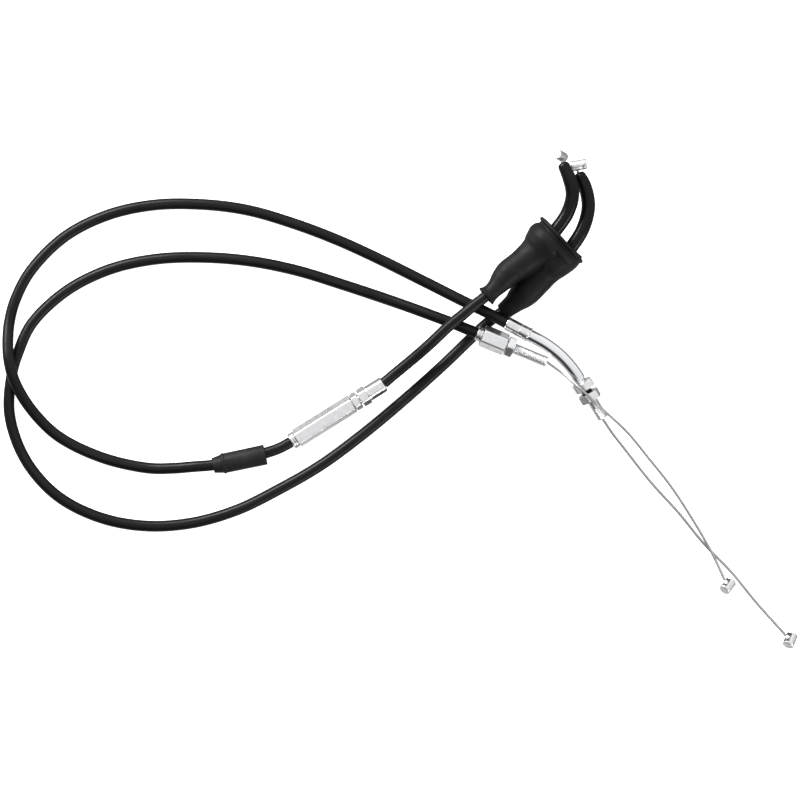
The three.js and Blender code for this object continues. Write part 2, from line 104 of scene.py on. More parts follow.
CASING_RADIUS = 3.0
CASING_SIDES = 40
CASING_GRIP = 0.9  # how far a casing reaches into its ferrules
COIL_STEP = 1.2
WIRE_RADIUS = 0.75
STRAND_WIRES = 6
STRAND_STEP = 0.35
STRAND_PITCH = 9.0
STRAND_REACH = (1.0, 1.8)  # how far a strand reaches into its fitting and its nipple
THREAD_RADIUS = 3.0
THREAD_PITCH = 1.0
THREAD_DEPTH = 0.4
NUT_FLATS = 10.8
BARREL_FLATS = 9.4
FLANGE_FLATS = 9.3
TUBE_RADIUS = 3.4
NUT_HALF_HEIGHT = 2.3
CARB_NIPPLE = (3.1, 7.4)  # radius and length
THROTTLE_NIPPLE = (2.8, 8.6)
FERRULE_BORE = 3.05
NECKING = 0.6  # how much thinner a moulded elbow is at its tip
ELBOW_RADIUS = 3.72
TIP_DOME = (2.2, 1.7)  # length and depth of the round at an elbow's tip
BOOT_WALL = 1.5
PASSAGE_RADIUS = 3.15


# ---------------------------------------------------------------- curve and frame helpers
def unit(v):
    v = np.asarray(v, float)
    return v / np.linalg.norm(v)


def heading(degrees, rise):
    a = math.radians(degrees)
    return unit((math.cos(a), math.sin(a), rise))


def row(point):
    """A drawing point in millimetres as a point of the row frame in metres."""
    return (np.asarray(point, float) - CENTRE) * MM


def catmull(points, per=40):
    """Rows along a centripetal Catmull-Rom curve, spaced by their first three numbers."""
    p = [np.array(q, float) for q in points]
    p = [2 * p[0] - p[1], *p, 2 * p[-1] - p[-2]]
    out = []
    t = np.linspace(0, 1, per, endpoint=False)[:, None]
    for a, b, c, d in zip(p, p[1:], p[2:], p[3:]):
        ta, tb, tc = (np.linalg.norm((m - n)[:3]) ** 0.5 for m, n in ((b, a), (c, b), (d, c)))
        m1 = ((b - a) / ta - (c - a) / (ta + tb) + (c - b) / tb) * tb
        m2 = ((c - b) / tb - (d - b) / (tb + tc) + (d - c) / tc) * tb
        out.append(b + m1 * t + (-3 * b + 3 * c - 2 * m1 - m2) * t**2
                   + (2 * b - 2 * c + m1 + m2) * t**3)
    return np.vstack([*out, p[-2][None]])


def respaced(line, step):
    """The same line with its points an even distance apart."""
    s = lengths(line)
    count = max(2, int(round(s[-1] / step))) + 1
    even = np.linspace(0, s[-1], count)
    return np.stack([np.interp(even, s, line[:, k]) for k in range(3)], 1)


def lengths(line):
    return np.concatenate([[0], np.cumsum(np.linalg.norm(np.diff(line, axis=0), axis=1))])


def carried_frames(line):
    """A side and an upper direction at each point, turned as little as possible along the line."""
    ahead = np.gradient(line, axis=0)
    ahead /= np.linalg.norm(ahead, axis=1)[:, None]
    side = unit(np.cross((0, 0, 1), ahead[0]))
    sides = []
    for a in ahead:
        side = unit(side - a * np.dot(side, a))
        sides.append(side)
    sides = np.array(sides)
    return sides, np.cross(ahead, sides)


def axes_of(direction):
    """The same axes as the CAD gives a straight piece: its own Z, and Y as far up as it goes."""
    z = unit(direction)
    x = -unit(np.cross((0, 0, 1), z))
    return x, np.cross(z, x), z


# ---------------------------------------------------------------- mesh helpers
def grid(rows, columns, start=0):
    i = np.arange(rows - 1)[:, None] * columns
    j = np.arange(columns)[None]
    k = (j + 1) % columns
    return (np.stack([i + j, i + k, i + k + columns, i + j + columns], -1) + start).reshape(-1, 4)


def make(name, points, faces, material, sharp=32, uv=None):
    """A mesh object from drawing points in millimetres."""
    mesh = bpy.data.meshes.new(name)
    mesh.from_pydata(row(points).tolist(), [], faces)
    mesh.polygons.foreach_set("use_smooth", [True] * len(mesh.polygons))
    mesh.materials.append(material)
    if uv is not None:
        layer = mesh.uv_layers.new(name="lay")
        corners = np.zeros(len(mesh.loops), int)
        mesh.loops.foreach_get("vertex_index", corners)
        layer.data.foreach_set("uv", np.asarray(uv, float)[corners].ravel())
    mesh.update()
    mesh.set_sharp_from_angle(angle=math.radians(sharp))
    obj = bpy.data.objects.new(name, mesh)
    bpy.context.scene.collection.objects.link(obj)
    return obj


def skin(name, rings, material, sharp=32, uv=None, caps=(True, True)):
    """A body over rings of equal counts, closed at its ends with fans."""
    rings = np.asarray(rings)
    count, sides = rings.shape[:2]
    points = rings.reshape(-1, 3)
    faces = grid(count, sides).tolist()
    extra = []
    for end, cap in zip((0, count - 1), caps):
        if not cap:
            continue
        centre = len(points) + len(extra)
        extra.append(rings[end].mean(0))
        for k in range(sides):
            pair = (end * sides + k, end * sides + (k + 1) % sides)
            faces.append((centre, *(pair if end else pair[::-1])))
    if extra:
        points = np.vstack([points, extra])
    if uv is not None:
        uv = np.vstack([uv, np.zeros((len(extra), 2))]) if extra else uv
    return make(name, points, faces, material, sharp, uv)


def tube(name, line, radius, sides, material, twist=None, sharp=32):
    """A tube along a line. radius is a number, or a function of (distance, angle) arrays."""
    side, top = carried_frames(line)
    s = lengths(line)
    angle = np.arange(sides) * 2 * math.pi / sides - math.pi / 2
    distance, around = np.meshgrid(s, angle, indexing="ij")
    turned = around if twist is None else around + distance * twist
    r = radius(distance, around) if callable(radius) else np.full(distance.shape, float(radius))
    rings = (line[:, None] + (r * np.cos(turned))[..., None] * side[:, None]
             + (r * np.sin(turned))[..., None] * top[:, None])
    uv = np.stack([distance, (around + math.pi / 2) * 3.0], -1).reshape(-1, 2)
    return skin(name, rings, material, sharp, uv)


def eased(profile, size):
    """A profile of (height, radius) pairs with its corners taken off by a small round."""
    p = [np.array(q, float) for q in profile]
    out = [p[0]]
    for a, b, c in zip(p, p[1:], p[2:]):
        la, lc = np.linalg.norm(b - a), np.linalg.norm(c - b)
        if min(la, lc) < 1e-6:
            out.append(b)
            continue
        cosine = np.dot(b - a, c - b) / (la * lc)
        if cosine > 0.94:
            out.append(b)
            continue
        near = b + (a - b) * min(size / la, 0.4)
        far = b + (c - b) * min(size / lc, 0.4)
        out += [near, b * 0.5 + (near + far) * 0.25, far]
    return [*out, p[-1]]


def turned(name, origin, direction, profile, material, sides=64, section=None, ease=0.15,
           sharp=32):
    """A turned piece. profile runs up the axis as (height, radius); section may shape each ring."""
    x, y, z = axes_of(direction)
    profile = eased(profile, ease) if ease else profile
    angle = np.arange(sides) * 2 * math.pi / sides
    rings = []
    around = []
    for height, radius in profile:
        r = np.full(sides, float(radius))
        if section is not None:
            r = section(height, angle, r)
        ring = (np.asarray(origin) + height * z + np.outer(r * np.cos(angle), x)
                + np.outer(r * np.sin(angle), y))
        rings.append(ring)
        around.append(np.stack([np.full(sides, height), angle * 3.0], -1))
    return skin(name, np.array(rings), material, sharp, np.vstack(around))


def hex_section(flats, ease=0.03):
    def section(_height, angle, radius):
        turn = np.mod(angle, math.pi / 3) - math.pi / 6
        flat = flats / 2 / np.cos(turn)
        corner = flats / math.sqrt(3)
        return np.minimum(radius, np.minimum(flat, corner * (1 - ease)))
    return section


def hex_profile(low, high, flats, chamfer=0.5, steps=6):
    """Rows of a hexagon bar whose ends are turned to a shallow cone."""
    corner = flats / math.sqrt(3)
    bevel = corner - flats / 2
    rim = flats / 2 + bevel * 0.05
    drop = bevel * chamfer
    t = np.linspace(0, 1, steps)
    first = [(low + drop * k, rim + (corner - rim) * k) for k in t]
    last = [(high - drop * k, rim + (corner - rim) * k) for k in t[::-1]]
    return [*first, *last]


def thread_section(low, high):
    """A right-hand thread: crests and roots of a 60 degree form, run out at both ends."""
    def section(height, angle, _radius):
        phase = np.mod(height / THREAD_PITCH - angle / (2 * math.pi), 1)
        saw = np.clip(np.abs(phase - 0.5) * 2.5 - 0.22, 0, 1)
        fade = np.clip(min(height - low, high - height) / (0.8 * THREAD_PITCH), 0, 1)
        start = np.clip((high - height) / 0.5, 0, 1)
        return THREAD_RADIUS - THREAD_DEPTH * saw * fade - 0.35 * (1 - start)
    return section


def threaded(name, origin, direction, low, high):
    profile = [(height, THREAD_RADIUS) for height in np.arange(low, high + 1e-6, THREAD_PITCH / 10)]
    return turned(name, origin, direction, profile, ZINC, 60, thread_section(low, high), ease=0,
                  sharp=60)


def merge(name, *objects):
    """One object from several, in the order given."""
    first = objects[0]
    with bpy.context.temp_override(active_object=first, object=first, selected_objects=objects,
                                   selected_editable_objects=objects):
        bpy.ops.object.join()
    first.name = name
    first.data.name = name
    return first


def applied(obj):
    """Replaces the mesh with what its modifiers make of it."""
    graph = bpy.context.evaluated_depsgraph_get()
    graph.update()
    mesh = bpy.data.meshes.new_from_object(obj.evaluated_get(graph))
    obj.modifiers.clear()
    obj.data = mesh
    return obj


def stands_for(obj, body, slot, *nodes):
    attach(obj, body)
    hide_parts(*nodes)


# ---------------------------------------------------------------- materials
class Look:
    """A node material with its shader and small helpers for procedural detail."""

    def __init__(self, name, color, roughness, metallic=0.0, specular=0.5):
        self.material = bpy.data.materials.new(name)
        self.material.use_nodes = True
        self.nodes = self.material.node_tree.nodes
        self.links = self.material.node_tree.links
        self.shader = self.nodes["Principled BSDF"]
        self.set("Base Color", (*color, 1))
        self.set("Roughness", roughness)
        self.set("Metallic", metallic)
        self.set("Specular IOR Level", specular)
        self.normal = None

    def set(self, socket, value):
        self.shader.inputs[socket].default_value = value

    def node(self, kind, **values):
        made = self.nodes.new(kind)
        for key, value in values.items():
            if hasattr(made, key):
                setattr(made, key, value)
            else:
                made.inputs[key].default_value = value
        return made

    def where(self, scale, use="Object"):
        """Coordinates in millimetres times scale: Object, or UV for (distance, way round)."""
        place = self.node("ShaderNodeTexCoord")
        mapping = self.node("ShaderNodeMapping")
        factor = 1000 if use == "Object" else 1
        mapping.inputs["Scale"].default_value = [factor * s for s in scale]
        self.links.new(place.outputs[use], mapping.inputs["Vector"])
        return mapping.outputs["Vector"]

    def noise(self, scale, detail=3, use="Object", rough=0.55, distortion=0.0):
        made = self.node("ShaderNodeTexNoise", Detail=detail, Roughness=rough,
                         Distortion=distortion, Scale=1.0)
        self.links.new(self.where(scale, use), made.inputs["Vector"])
        return made.outputs["Fac"]

    def ramp(self, value, low, high, start=0.0, end=1.0):
        made = self.node("ShaderNodeMapRange")
        for socket, number in zip(("From Min", "From Max", "To Min", "To Max"),
                                  (low, high, start, end)):
            made.inputs[socket].default_value = number
        self.links.new(value, made.inputs["Value"])
        return made.outputs["Result"]

    def mixed(self, factor, first, second):
        made = self.node("ShaderNodeMix", data_type="RGBA")
        made.inputs["A"].default_value = (*first, 1)
        if isinstance(second, tuple):
            made.inputs["B"].default_value = (*second, 1)
        else:
            self.links.new(second, made.inputs["B"])
        self.links.new(factor, made.inputs["Factor"])
        return made.outputs["Result"]

    def feed(self, socket, value):
        self.links.new(value, self.shader.inputs[socket])

    def bump(self, height, distance, strength=1.0):
        """distance is in millimetres."""
        made = self.node("ShaderNodeBump", Strength=strength, Distance=distance * MM)
        self.links.new(height, made.inputs["Height"])
        if self.normal is not None:
            self.links.new(self.normal, made.inputs["Normal"])
        self.normal = made.outputs["Normal"]
        self.links.new(self.normal, self.shader.inputs["Normal"])


def rubber(name, tone, grain):
    """Moulded rubber: fine sandy grain, a faint bloom in patches, and rubbed smoother spots."""
    look = Look(name, tone, 0.55, specular=0.14)
    bloom = look.noise((0.09, 0.09, 0.09), 4, distortion=0.4)
    lighter = tuple(c * 1.9 for c in tone)
    look.feed("Base Color", look.mixed(look.ramp(bloom, 0.42, 0.72), tone, lighter))
    look.feed("Roughness", look.ramp(look.noise((0.35, 0.35, 0.35), 3), 0.3, 0.7, 0.46, 0.62))
    look.bump(look.noise((grain, grain, grain), 2), 0.05, 0.35)
    look.bump(look.noise((0.5, 0.5, 0.5), 3), 0.12, 0.25)
    return look.material


def jacket_look():
    """Extruded jacket: drawn lines along it, the steel coil just telling through, dull scuffs."""
    look = Look("jacket", (0.0055, 0.0055, 0.006), 0.36, specular=0.15)
    scuff = look.noise((0.03, 0.5, 1), 5, "UV", distortion=0.3)
    look.feed("Base Color", look.mixed(look.ramp(scuff, 0.5, 0.8), (0.005, 0.005, 0.0055),
                                       (0.012, 0.012, 0.0125)))
    look.feed("Roughness", look.ramp(look.noise((0.05, 1.2, 1), 4, "UV"), 0.25, 0.75, 0.26, 0.42))
    look.bump(look.noise((0.012, 2.2, 1), 2, "UV"), 0.05, 0.5)
    coil = look.node("ShaderNodeTexWave", bands_direction="X", Scale=0.12, Distortion=0.6,
                     Detail=1.0)
    look.links.new(look.where((1, 0.05, 1), "UV"), coil.inputs["Vector"])
    look.bump(coil.outputs["Fac"], 0.02, 0.35)
    look.bump(look.noise((0.25, 0.3, 1), 2, "UV"), 0.1, 0.3)
    return look.material


def moulding_look():
    """Glass-filled nylon from a polished tool: glossy, with slight flow marks."""
    look = Look("moulding", (0.004, 0.004, 0.0045), 0.24, specular=0.16)
    look.feed("Roughness", look.ramp(look.noise((0.3, 0.3, 0.3), 4), 0.3, 0.7, 0.18, 0.34))
    look.bump(look.noise((0.45, 0.45, 0.45), 3), 0.12, 0.3)
    look.bump(look.noise((6, 6, 6), 2), 0.012, 0.3)
    return look.material


def plated(name, tone, roughness, lines, mottled=0.12):
    """Zinc plate on turned steel: tool marks round it, cloudy plating and a few dark specks."""
    look = Look(name, tone, roughness, metallic=1.0)
    cloud = look.noise((0.35, 0.35, 0.35), 4, distortion=0.5)
    darker = tuple(c * (1 - mottled) for c in tone)
    specks = look.noise((2.6, 2.6, 2.6), 2)
    worn = look.mixed(look.ramp(specks, 0.7, 0.78), tone, tuple(c * 0.6 for c in tone))
    look.feed("Base Color", look.mixed(look.ramp(cloud, 0.35, 0.7, 1.0, 0.0), darker, worn))
    look.feed("Roughness", look.ramp(cloud, 0.3, 0.7, roughness * 0.8, roughness * 1.25))
    look.bump(look.noise((lines, 0.15, 1), 3, "UV"), 0.012, 0.5)
    look.bump(look.noise((1.4, 1.4, 1.4), 3), 0.02, 0.35)
    return look.material


def chrome_look():
    """Polished plate on a drawn tube, with the slightest waviness along it."""
    look = Look("chrome", (0.86, 0.87, 0.89), 0.07, metallic=1.0)
    look.feed("Roughness", look.ramp(look.noise((0.5, 0.5, 0.5), 4), 0.3, 0.75, 0.04, 0.14))
    look.bump(look.noise((0.12, 0.12, 0.12), 2), 0.15, 0.25)
    return look.material


def cast_look(name, tone):
    """Pressure-cast zinc: satin skin, fine pits and patchy roughness."""
    look = Look(name, (tone, tone, tone * 1.01), 0.42, metallic=0.9)
    pits = look.noise((3.2, 3.2, 3.2), 3)
    look.feed("Base Color", look.mixed(look.ramp(pits, 0.3, 0.45, 1.0, 0.0),
                                       (tone, tone, tone * 1.01),
                                       (tone * 0.65, tone * 0.65, tone * 0.66)))
    look.feed("Roughness", look.ramp(look.noise((0.8, 0.8, 0.8), 3), 0.3, 0.7, 0.28, 0.5))
    look.bump(pits, 0.04, 0.4)
    return look.material


def strand_look():
    look = Look("strand", (0.6, 0.6, 0.61), 0.36, metallic=1.0)
    drawn = look.noise((0.7, 0.7, 0.7), 4)
    look.feed("Base Color", look.mixed(look.ramp(drawn, 0.35, 0.7), (0.58, 0.58, 0.59),
                                       (0.36, 0.36, 0.37)))
    look.feed("Roughness", look.ramp(drawn, 0.3, 0.7, 0.28, 0.5))
    return look.material


def nylon_look():
    look = Look("nylon", (0.72, 0.7, 0.63), 0.45, specular=0.4)
    look.bump(look.noise((1.5, 1.5, 1.5), 3), 0.02, 0.4)
    return look.material


def painted_shade_look():
    """Painted shade: black, uneven and dull, laid on the thread between the bracket nuts and in the
    groove round a throttle nipple's eye.
    """
    look = Look("painted_shade", (0.012, 0.012, 0.012), 0.6, specular=0.2)
    look.feed("Roughness", look.ramp(look.noise((2, 2, 2), 3), 0.3, 0.7, 0.45, 0.75))
    look.bump(look.noise((3, 3, 3), 3), 0.05, 0.5)
    return look.material


PAINTED_SHADE = painted_shade_look()
BOOT_RUBBER = rubber("boot_rubber", (0.0062, 0.0062, 0.0066), 7)
SLEEVE_RUBBER = rubber("sleeve_rubber", (0.0095, 0.0095, 0.01), 9)
JACKET = jacket_look()
MOULDING = moulding_look()
ZINC = plated("zinc", (0.82, 0.825, 0.835), 0.27, 4.0)
HEX_ZINC = plated("hex_zinc", (0.85, 0.855, 0.865), 0.3, 1.2)
SMOOTH_ZINC = plated("smooth_zinc", (0.82, 0.825, 0.835), 0.24, 0.9)
CHROME = chrome_look()
CAST = cast_look("cast", 0.76)
THROTTLE_CAST = cast_look("throttle_cast", 0.66)
# A dark cast colour as painted shade, for the nipple windows and the solder in a throttle nipple's
# eye.
SHADE_CAST = cast_look("shade_cast", 0.22)
STRAND = strand_look()
NYLON = nylon_look()
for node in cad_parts.values():
    node.data.materials.clear()
    wire = "wire" in node.name
    node.data.materials.append(STRAND if wire else NYLON if "liner" in node.name else ZINC)


# ---------------------------------------------------------------- camera, light and floor
VIEW_WIDTH = 0.4288
FLOOR_REACH = 20.0
FLOOR_DROP = 0.0002


def staged(obj, place):
    bpy.context.scene.collection.objects.link(obj)
    obj.location = place
    return obj


def camera():
    """Straight down on the plane of the casings' tops, VIEW_WIDTH of it across the frame."""
    data = bpy.data.cameras.new("camera")
    data.lens = 300
    data.sensor_width = 36
    height = VIEW_WIDTH * data.lens / data.sensor_width + 2 * CASING_RADIUS * MM
    obj = staged(bpy.data.objects.new("camera", data), (*row((0, 0, 0))[:2], height))
    data.clip_end = 50
    bpy.context.scene.camera = obj


def softbox(name, azimuth, elevation, distance, size, power):
    """An area light aimed at the middle of the pair. Azimuth 0 is towards +X, 90 towards +Y."""
    data = bpy.data.lights.new(name, "AREA")
    data.shape = "RECTANGLE"
    data.size, data.size_y = size
    data.energy = power
    a, e = math.radians(azimuth), math.radians(elevation)
    aim = Vector((math.cos(a) * math.cos(e), math.sin(a) * math.cos(e), math.sin(e)))
    obj = staged(bpy.data.objects.new(name, data), aim * distance)
    obj.rotation_euler = aim.to_track_quat("Z", "Y").to_euler()


def surroundings():
    """A studio seen by direction: pale overhead, bright to the upper right, dark to the lower left.

    Below the horizon it stands in for the paper. Each table gives (height of direction, value)."""
    world = bpy.data.worlds.new("studio")
    bpy.context.scene.world = world
    world.use_nodes = True
    nodes, links = world.node_tree.nodes, world.node_tree.links
    place = nodes.new("ShaderNodeTexCoord")
    split = nodes.new("ShaderNodeSeparateXYZ")
    links.new(place.outputs["Generated"], split.inputs[0])

    def maths(operation, first, second, third=None):
        made = nodes.new("ShaderNodeMath")
        made.operation = operation
        for socket, value in zip(made.inputs, (first, second, third)):
            if isinstance(value, (int, float)):
                socket.default_value = value
            elif value is not None:
                links.new(value, socket)
        return made.outputs[0]

    def by_height(stops):
        ramp = nodes.new("ShaderNodeValToRGB")
        ramp.color_ramp.elements[0].position, ramp.color_ramp.elements[1].position = 0.0, 1.0
        for height, _ in stops[1:-1]:
            ramp.color_ramp.elements.new((height + 1) / 2)
        for element, (height, value) in zip(ramp.color_ramp.elements, stops):
            element.position = (height + 1) / 2
            element.color = (value, value, value, 1)
        links.new(maths("MULTIPLY_ADD", split.outputs["Z"], 0.5, 0.5), ramp.inputs["Fac"])
        return ramp.outputs["Color"]

    across = maths("MULTIPLY_ADD", split.outputs["X"], 0.58,
                   maths("MULTIPLY", split.outputs["Y"], 0.815))
    level = by_height(((-1, 0.54), (-0.46, 0.52), (-0.3, 0.42), (-0.08, 0.46), (0.1, 0.6),
                       (0.5, 0.5), (0.8, 0.6), (0.96, 0.9), (1, 0.93)))
    lean = by_height(((-1, 0.12), (-0.46, 0.12), (-0.3, 0.46), (0.1, 0.78), (0.3, 1.0),
                      (0.84, 1.0), (0.94, 0.55), (1, 0.5)))
    side = maths("MULTIPLY_ADD", across, maths("MULTIPLY_ADD", lean, 2.2, -1.05), 1.0)
    value = maths("MAXIMUM", maths("MULTIPLY", level, side), 0.03)
    links.new(value, nodes["Background"].inputs["Color"])


def floor():
    mesh = bpy.data.meshes.new("floor")
    corners = ((-1, -1), (1, -1), (1, 1), (-1, 1))
    mesh.from_pydata([(FLOOR_REACH * x, FLOOR_REACH * y, 0) for x, y in corners], [], [(0, 1, 2, 3)])
    paper = bpy.data.materials.new("paper")
    paper.use_nodes = True
    shader = paper.node_tree.nodes["Principled BSDF"]
    shader.inputs["Base Color"].default_value = (0.9, 0.9, 0.9, 1)
    shader.inputs["Roughness"].default_value = 0.9
    shader.inputs["Specular IOR Level"].default_value = 0.0
    shader.inputs["Emission Color"].default_value = (1, 1, 1, 1)
    shader.inputs["Emission Strength"].default_value = 0.92
    mesh.materials.append(paper)
    obj = staged(bpy.data.objects.new("floor", mesh), (0, 0, -FLOOR_DROP))
    obj.visible_glossy = False
    obj.visible_diffuse = False


camera()
surroundings()
floor()
softbox("upper_left", 128, 27, 1.6, (1.5, 0.3), 52)
softbox("lower_right", -48, 22, 1.8, (1.3, 0.26), 17)
bpy.context.scene.view_settings.view_transform = "Standard"

# ---------------------------------------------------------------- cables
def extended(route, reaches, step):
    """The curve of a route, run on straight at both ends by reaches and evenly spaced."""
    line = catmull(route)
    first, last = (unit(line[k] - line[m]) * reach
                   for (k, m), reach in zip(((0, 1), (-1, -2)), reaches))
    return respaced(np.vstack([line[0] + first, line, line[-1] + last]), step)


def lobes(_distance, around):
    """The outline of a strand: its outer wires, side by side."""
    return WIRE_RADIUS * (0.8 + 0.2 * np.sqrt(np.abs(np.cos(around * STRAND_WIRES / 2))))


def strand_tube(name, line, node):
    obj = tube(name, line, lobes, STRAND_WIRES * 6, STRAND, twist=2 * math.pi / STRAND_PITCH,
               sharp=180)
    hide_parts(node)
    return obj


def casing(name, route, nodes):
    """A jacket along its route, run on a little at its ends into the ferrules that grip it."""
    line = extended(route, (CASING_GRIP, CASING_GRIP), COIL_STEP)
    obj = tube(name, line, CASING_RADIUS, CASING_SIDES, JACKET)
    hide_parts(*nodes)
    return obj, line, lengths(line)[-1] * MM


def strand(name, route, node):
    """A stranded wire: outer wires laid round it in a right-hand twist, into its fittings."""
    line = extended(route, STRAND_REACH, STRAND_STEP)
    return strand_tube(name, line, node), line, lengths(line)[-1] * MM


lower, lower_line, lower_length = casing(
    "pull_casing_lower", LOWER_ROUTE, ("pull_lower_casing", "pull_lower_liner"))
upper, upper_line, upper_length = casing(
    "pull_casing_upper", UPPER_ROUTE, ("pull_upper_casing", "pull_upper_liner"))
back, back_line, back_length = casing(
    "return_casing_run", RETURN_ROUTE, ("return_casing", "return_liner"))
for jacket, run, length in ((lower, lower_line, lower_length), (upper, upper_line, upper_length),
                            (back, back_line, back_length)):
    row(run[0])
    row(run[::3])
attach(upper, ROOT)
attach(back, ROOT)
collar_end = row(LOWER_ROUTE[0])
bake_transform(lower)

pull_wire, pull_line, pull_length = strand("pull_bare_wire", PULL_WIRE_ROUTE, "pull_carb_wire")
return_wire, return_line, return_length = strand(
    "return_bare_wire", RETURN_WIRE_ROUTE, "return_carb_wire")
tuple(row(PULL_WIRE_ROUTE[0]))
tuple(row(PULL_WIRE_ROUTE[-2]))
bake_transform(pull_wire)
tuple(row(RETURN_WIRE_ROUTE[7]))
tuple(row(RETURN_WIRE_ROUTE[-2]))
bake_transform(return_wire)


# ---------------------------------------------------------------- in-line adjuster
inline_at, inline_way = np.array(INLINE[0], float), heading(*INLINE[1:])
return_at, return_way = np.array(RETURN_END[0], float), heading(*RETURN_END[1:])
pull_at, pull_way = np.array(PULL_END[0], float), heading(*PULL_END[1:])
elbow_way = heading(*ELBOW_TIP)


def nut(name, origin, direction, low, high, flats, bore=3.1, turn=0.0):
    """A hexagon nut with chamfered faces and a countersunk threaded bore."""
    x, y, z = axes_of(direction)
    angle = np.arange(72) * 2 * math.pi / 72
    section = hex_section(flats)
    sink = 0.45
    outside = [(h, section(h, angle, np.full(72, r)))
               for h, r in eased(hex_profile(low, high, flats), 0.0)]
    inside = [(high, np.full(72, bore + sink)), (high - sink, np.full(72, bore)),
              (low + sink, np.full(72, bore)), (low, np.full(72, bore + sink))]
    outline = [*outside, *inside, (low, outside[0][1])]
    rings = [np.asarray(origin) + height * z + np.outer(r * np.cos(angle + turn), x)
             + np.outer(r * np.sin(angle + turn), y) for height, r in outline]
    heights = [height for height, _ in outline]
    uv = np.stack(np.meshgrid(heights, angle * 3.0, indexing="ij"), -1).reshape(-1, 2)
    return skin(name, rings, HEX_ZINC, 30, uv, (False, False))


sleeve_at = np.array((-100.25, -35.15, 5.6))
sleeve_way = heading(11.9, 0)
sleeve = turned("rubber_sleeve_cover", sleeve_at, sleeve_way, [
    (0, 3.15), (0, 4.0), (0.5, 4.15), (5.0, 5.0), (5.3, 5.55), (6.3, 5.62), (6.8, 5.3), (7.6, 5.38),
    (24.5, 5.45), (28.4, 5.5), (28.8, 5.3), (28.8, 3.15),
], SLEEVE_RUBBER, 64, ease=0.35)
stands_for(sleeve, "rubber_sleeve", "sleeve_rubber", "adjuster_sleeve")

collar = turned("adjuster_collar_ring", inline_at, inline_way, [
    (-3.3, 3.05), (-3.3, 4.3), (-2.9, 4.58), (-2.0, 4.6), (-1.8, 4.3), (-1.5, 4.3), (-1.3, 4.6),
    (-0.7, 4.6), (-0.3, 4.2), (-0.3, 2.6), (4.4, 2.6), (4.4, 1.5),
], ZINC)
stands_for(collar, "adjuster_collar", "zinc_plate", "pull_adjuster_collar")

barrel = nut("adjuster_barrel_hex", inline_at, inline_way, 0, 35.5, BARREL_FLATS, bore=3.05,
             turn=0.117)
stands_for(barrel, "adjuster_barrel", "zinc_plate", "pull_adjuster_barrel")
barrel_nut = nut("adjuster_barrel_nut", inline_at, inline_way, 35.9, 39.5, 9.0, turn=0.06)
stands_for(barrel_nut, "adjuster_lock_nut", "zinc_plate", "pull_adjuster_lock_nut")

screw = threaded("adjuster_screw_thread", inline_at, inline_way, 12, 40.6)
flange = turned("adjuster_screw_hex", inline_at, inline_way, hex_profile(40.4, 44.8, FLANGE_FLATS),
                HEX_ZINC, 72, hex_section(FLANGE_FLATS), ease=0)


def crimped(low, high, flats, jaws):
    """A turned ferrule pressed to jaws flats between two heights, with a short run-out."""
    def section(height, angle, radius):
        turn = np.mod(angle, 2 * math.pi / jaws) - math.pi / jaws
        flat = flats / 2 / np.cos(turn)
        fade = np.clip(min(height - low, high - height) / 0.4, 0, 1)
        return np.minimum(radius, radius * (1 - fade) + flat * fade)
    return section


def rows_between(profile, step=0.25):
    """The same profile with more rows, so that a section can change along it."""
    out = []
    for (h0, r0), (h1, r1) in zip(profile, profile[1:]):
        count = max(1, int(round(abs(h1 - h0) / step)))
        out += [(h0 + (h1 - h0) * k / count, r0 + (r1 - r0) * k / count) for k in range(count)]
    return [*out, profile[-1]]


screw_end = turned("adjuster_screw_ferrule", inline_at, inline_way, rows_between(eased([
    (44.6, 2.8), (44.6, 4.2), (45.0, 4.35), (54.6, 4.35), (55.2, 4.0), (55.2, 3.05),
], 0.2)), SMOOTH_ZINC, 72, crimped(45.9, 60, 8.1, 6), ease=0)
screw = merge("adjuster_screw_body", screw, flange, screw_end)
stands_for(screw, ROOT, "zinc_plate", "pull_adjuster_screw")

# ---------------------------------------------------------------- pull cable's carburettor end
pull_ferrule = turned("pull_crimp_ferrule", pull_at, pull_way, rows_between(eased([
    (0, 3.05), (0, 3.5), (0.4, 3.66), (8.0, 3.7), (8.4, 3.55), (8.8, 3.7), (12.4, 3.8), (12.8, 3.8),
    (12.9, 4.05), (13.6, 4.05), (13.8, 3.85), (13.8, 2.9),
], 0.12)), SMOOTH_ZINC, 72, crimped(0.6, 8.0, 6.9, 6), ease=0)
stands_for(pull_ferrule, ROOT, "zinc_plate", "pull_carb_ferrule")

bend_start = pull_at + pull_way * 14.1
bend_from = bend_start + pull_way * 4.5
corner = bend_start + pull_way * 20.5
bend_to = corner + elbow_way * 16
elbow_end = corner + elbow_way * 41.3
bend_t = np.linspace(0, 1, 60)[:, None]
bend = (1 - bend_t) ** 2 * bend_from + 2 * bend_t * (1 - bend_t) * corner + bend_t**2 * bend_to
THREAD_RUN = 25.3
plain_end = elbow_end - elbow_way * THREAD_RUN
elbow_line = respaced(np.vstack([bend_start - pull_way * 0.25, bend, plain_end]), 0.7)
elbow_tube = tube("elbow_tube", elbow_line, TUBE_RADIUS, 64, CHROME)
elbow_step = turned("elbow_step", elbow_end, elbow_way, [
    (-THREAD_RUN - 0.1, TUBE_RADIUS), (-THREAD_RUN + 0.15, TUBE_RADIUS - 0.1),
    (-THREAD_RUN + 0.4, 2.7),
], CHROME, 64, ease=0)
elbow_thread = threaded("elbow_thread", elbow_end, elbow_way, -THREAD_RUN - 0.05, 0)
SHADED_FROM, SHADED_TO = -19.5, -15.2  # the thread between the bracket nuts, drawn black as painted shade
elbow_thread.data.materials.append(PAINTED_SHADE)
for face in elbow_thread.data.polygons:
    along = (np.array(face.center) / MM + CENTRE - elbow_end) @ elbow_way
    face.material_index = int(SHADED_FROM < along < SHADED_TO)
elbow_mouth = turned("elbow_mouth", elbow_end, elbow_way,
                     [(-2.0, 1.0), (0.02, 1.0), (0.02, 1.35), (-0.3, 1.5)], ZINC, 32, ease=0)
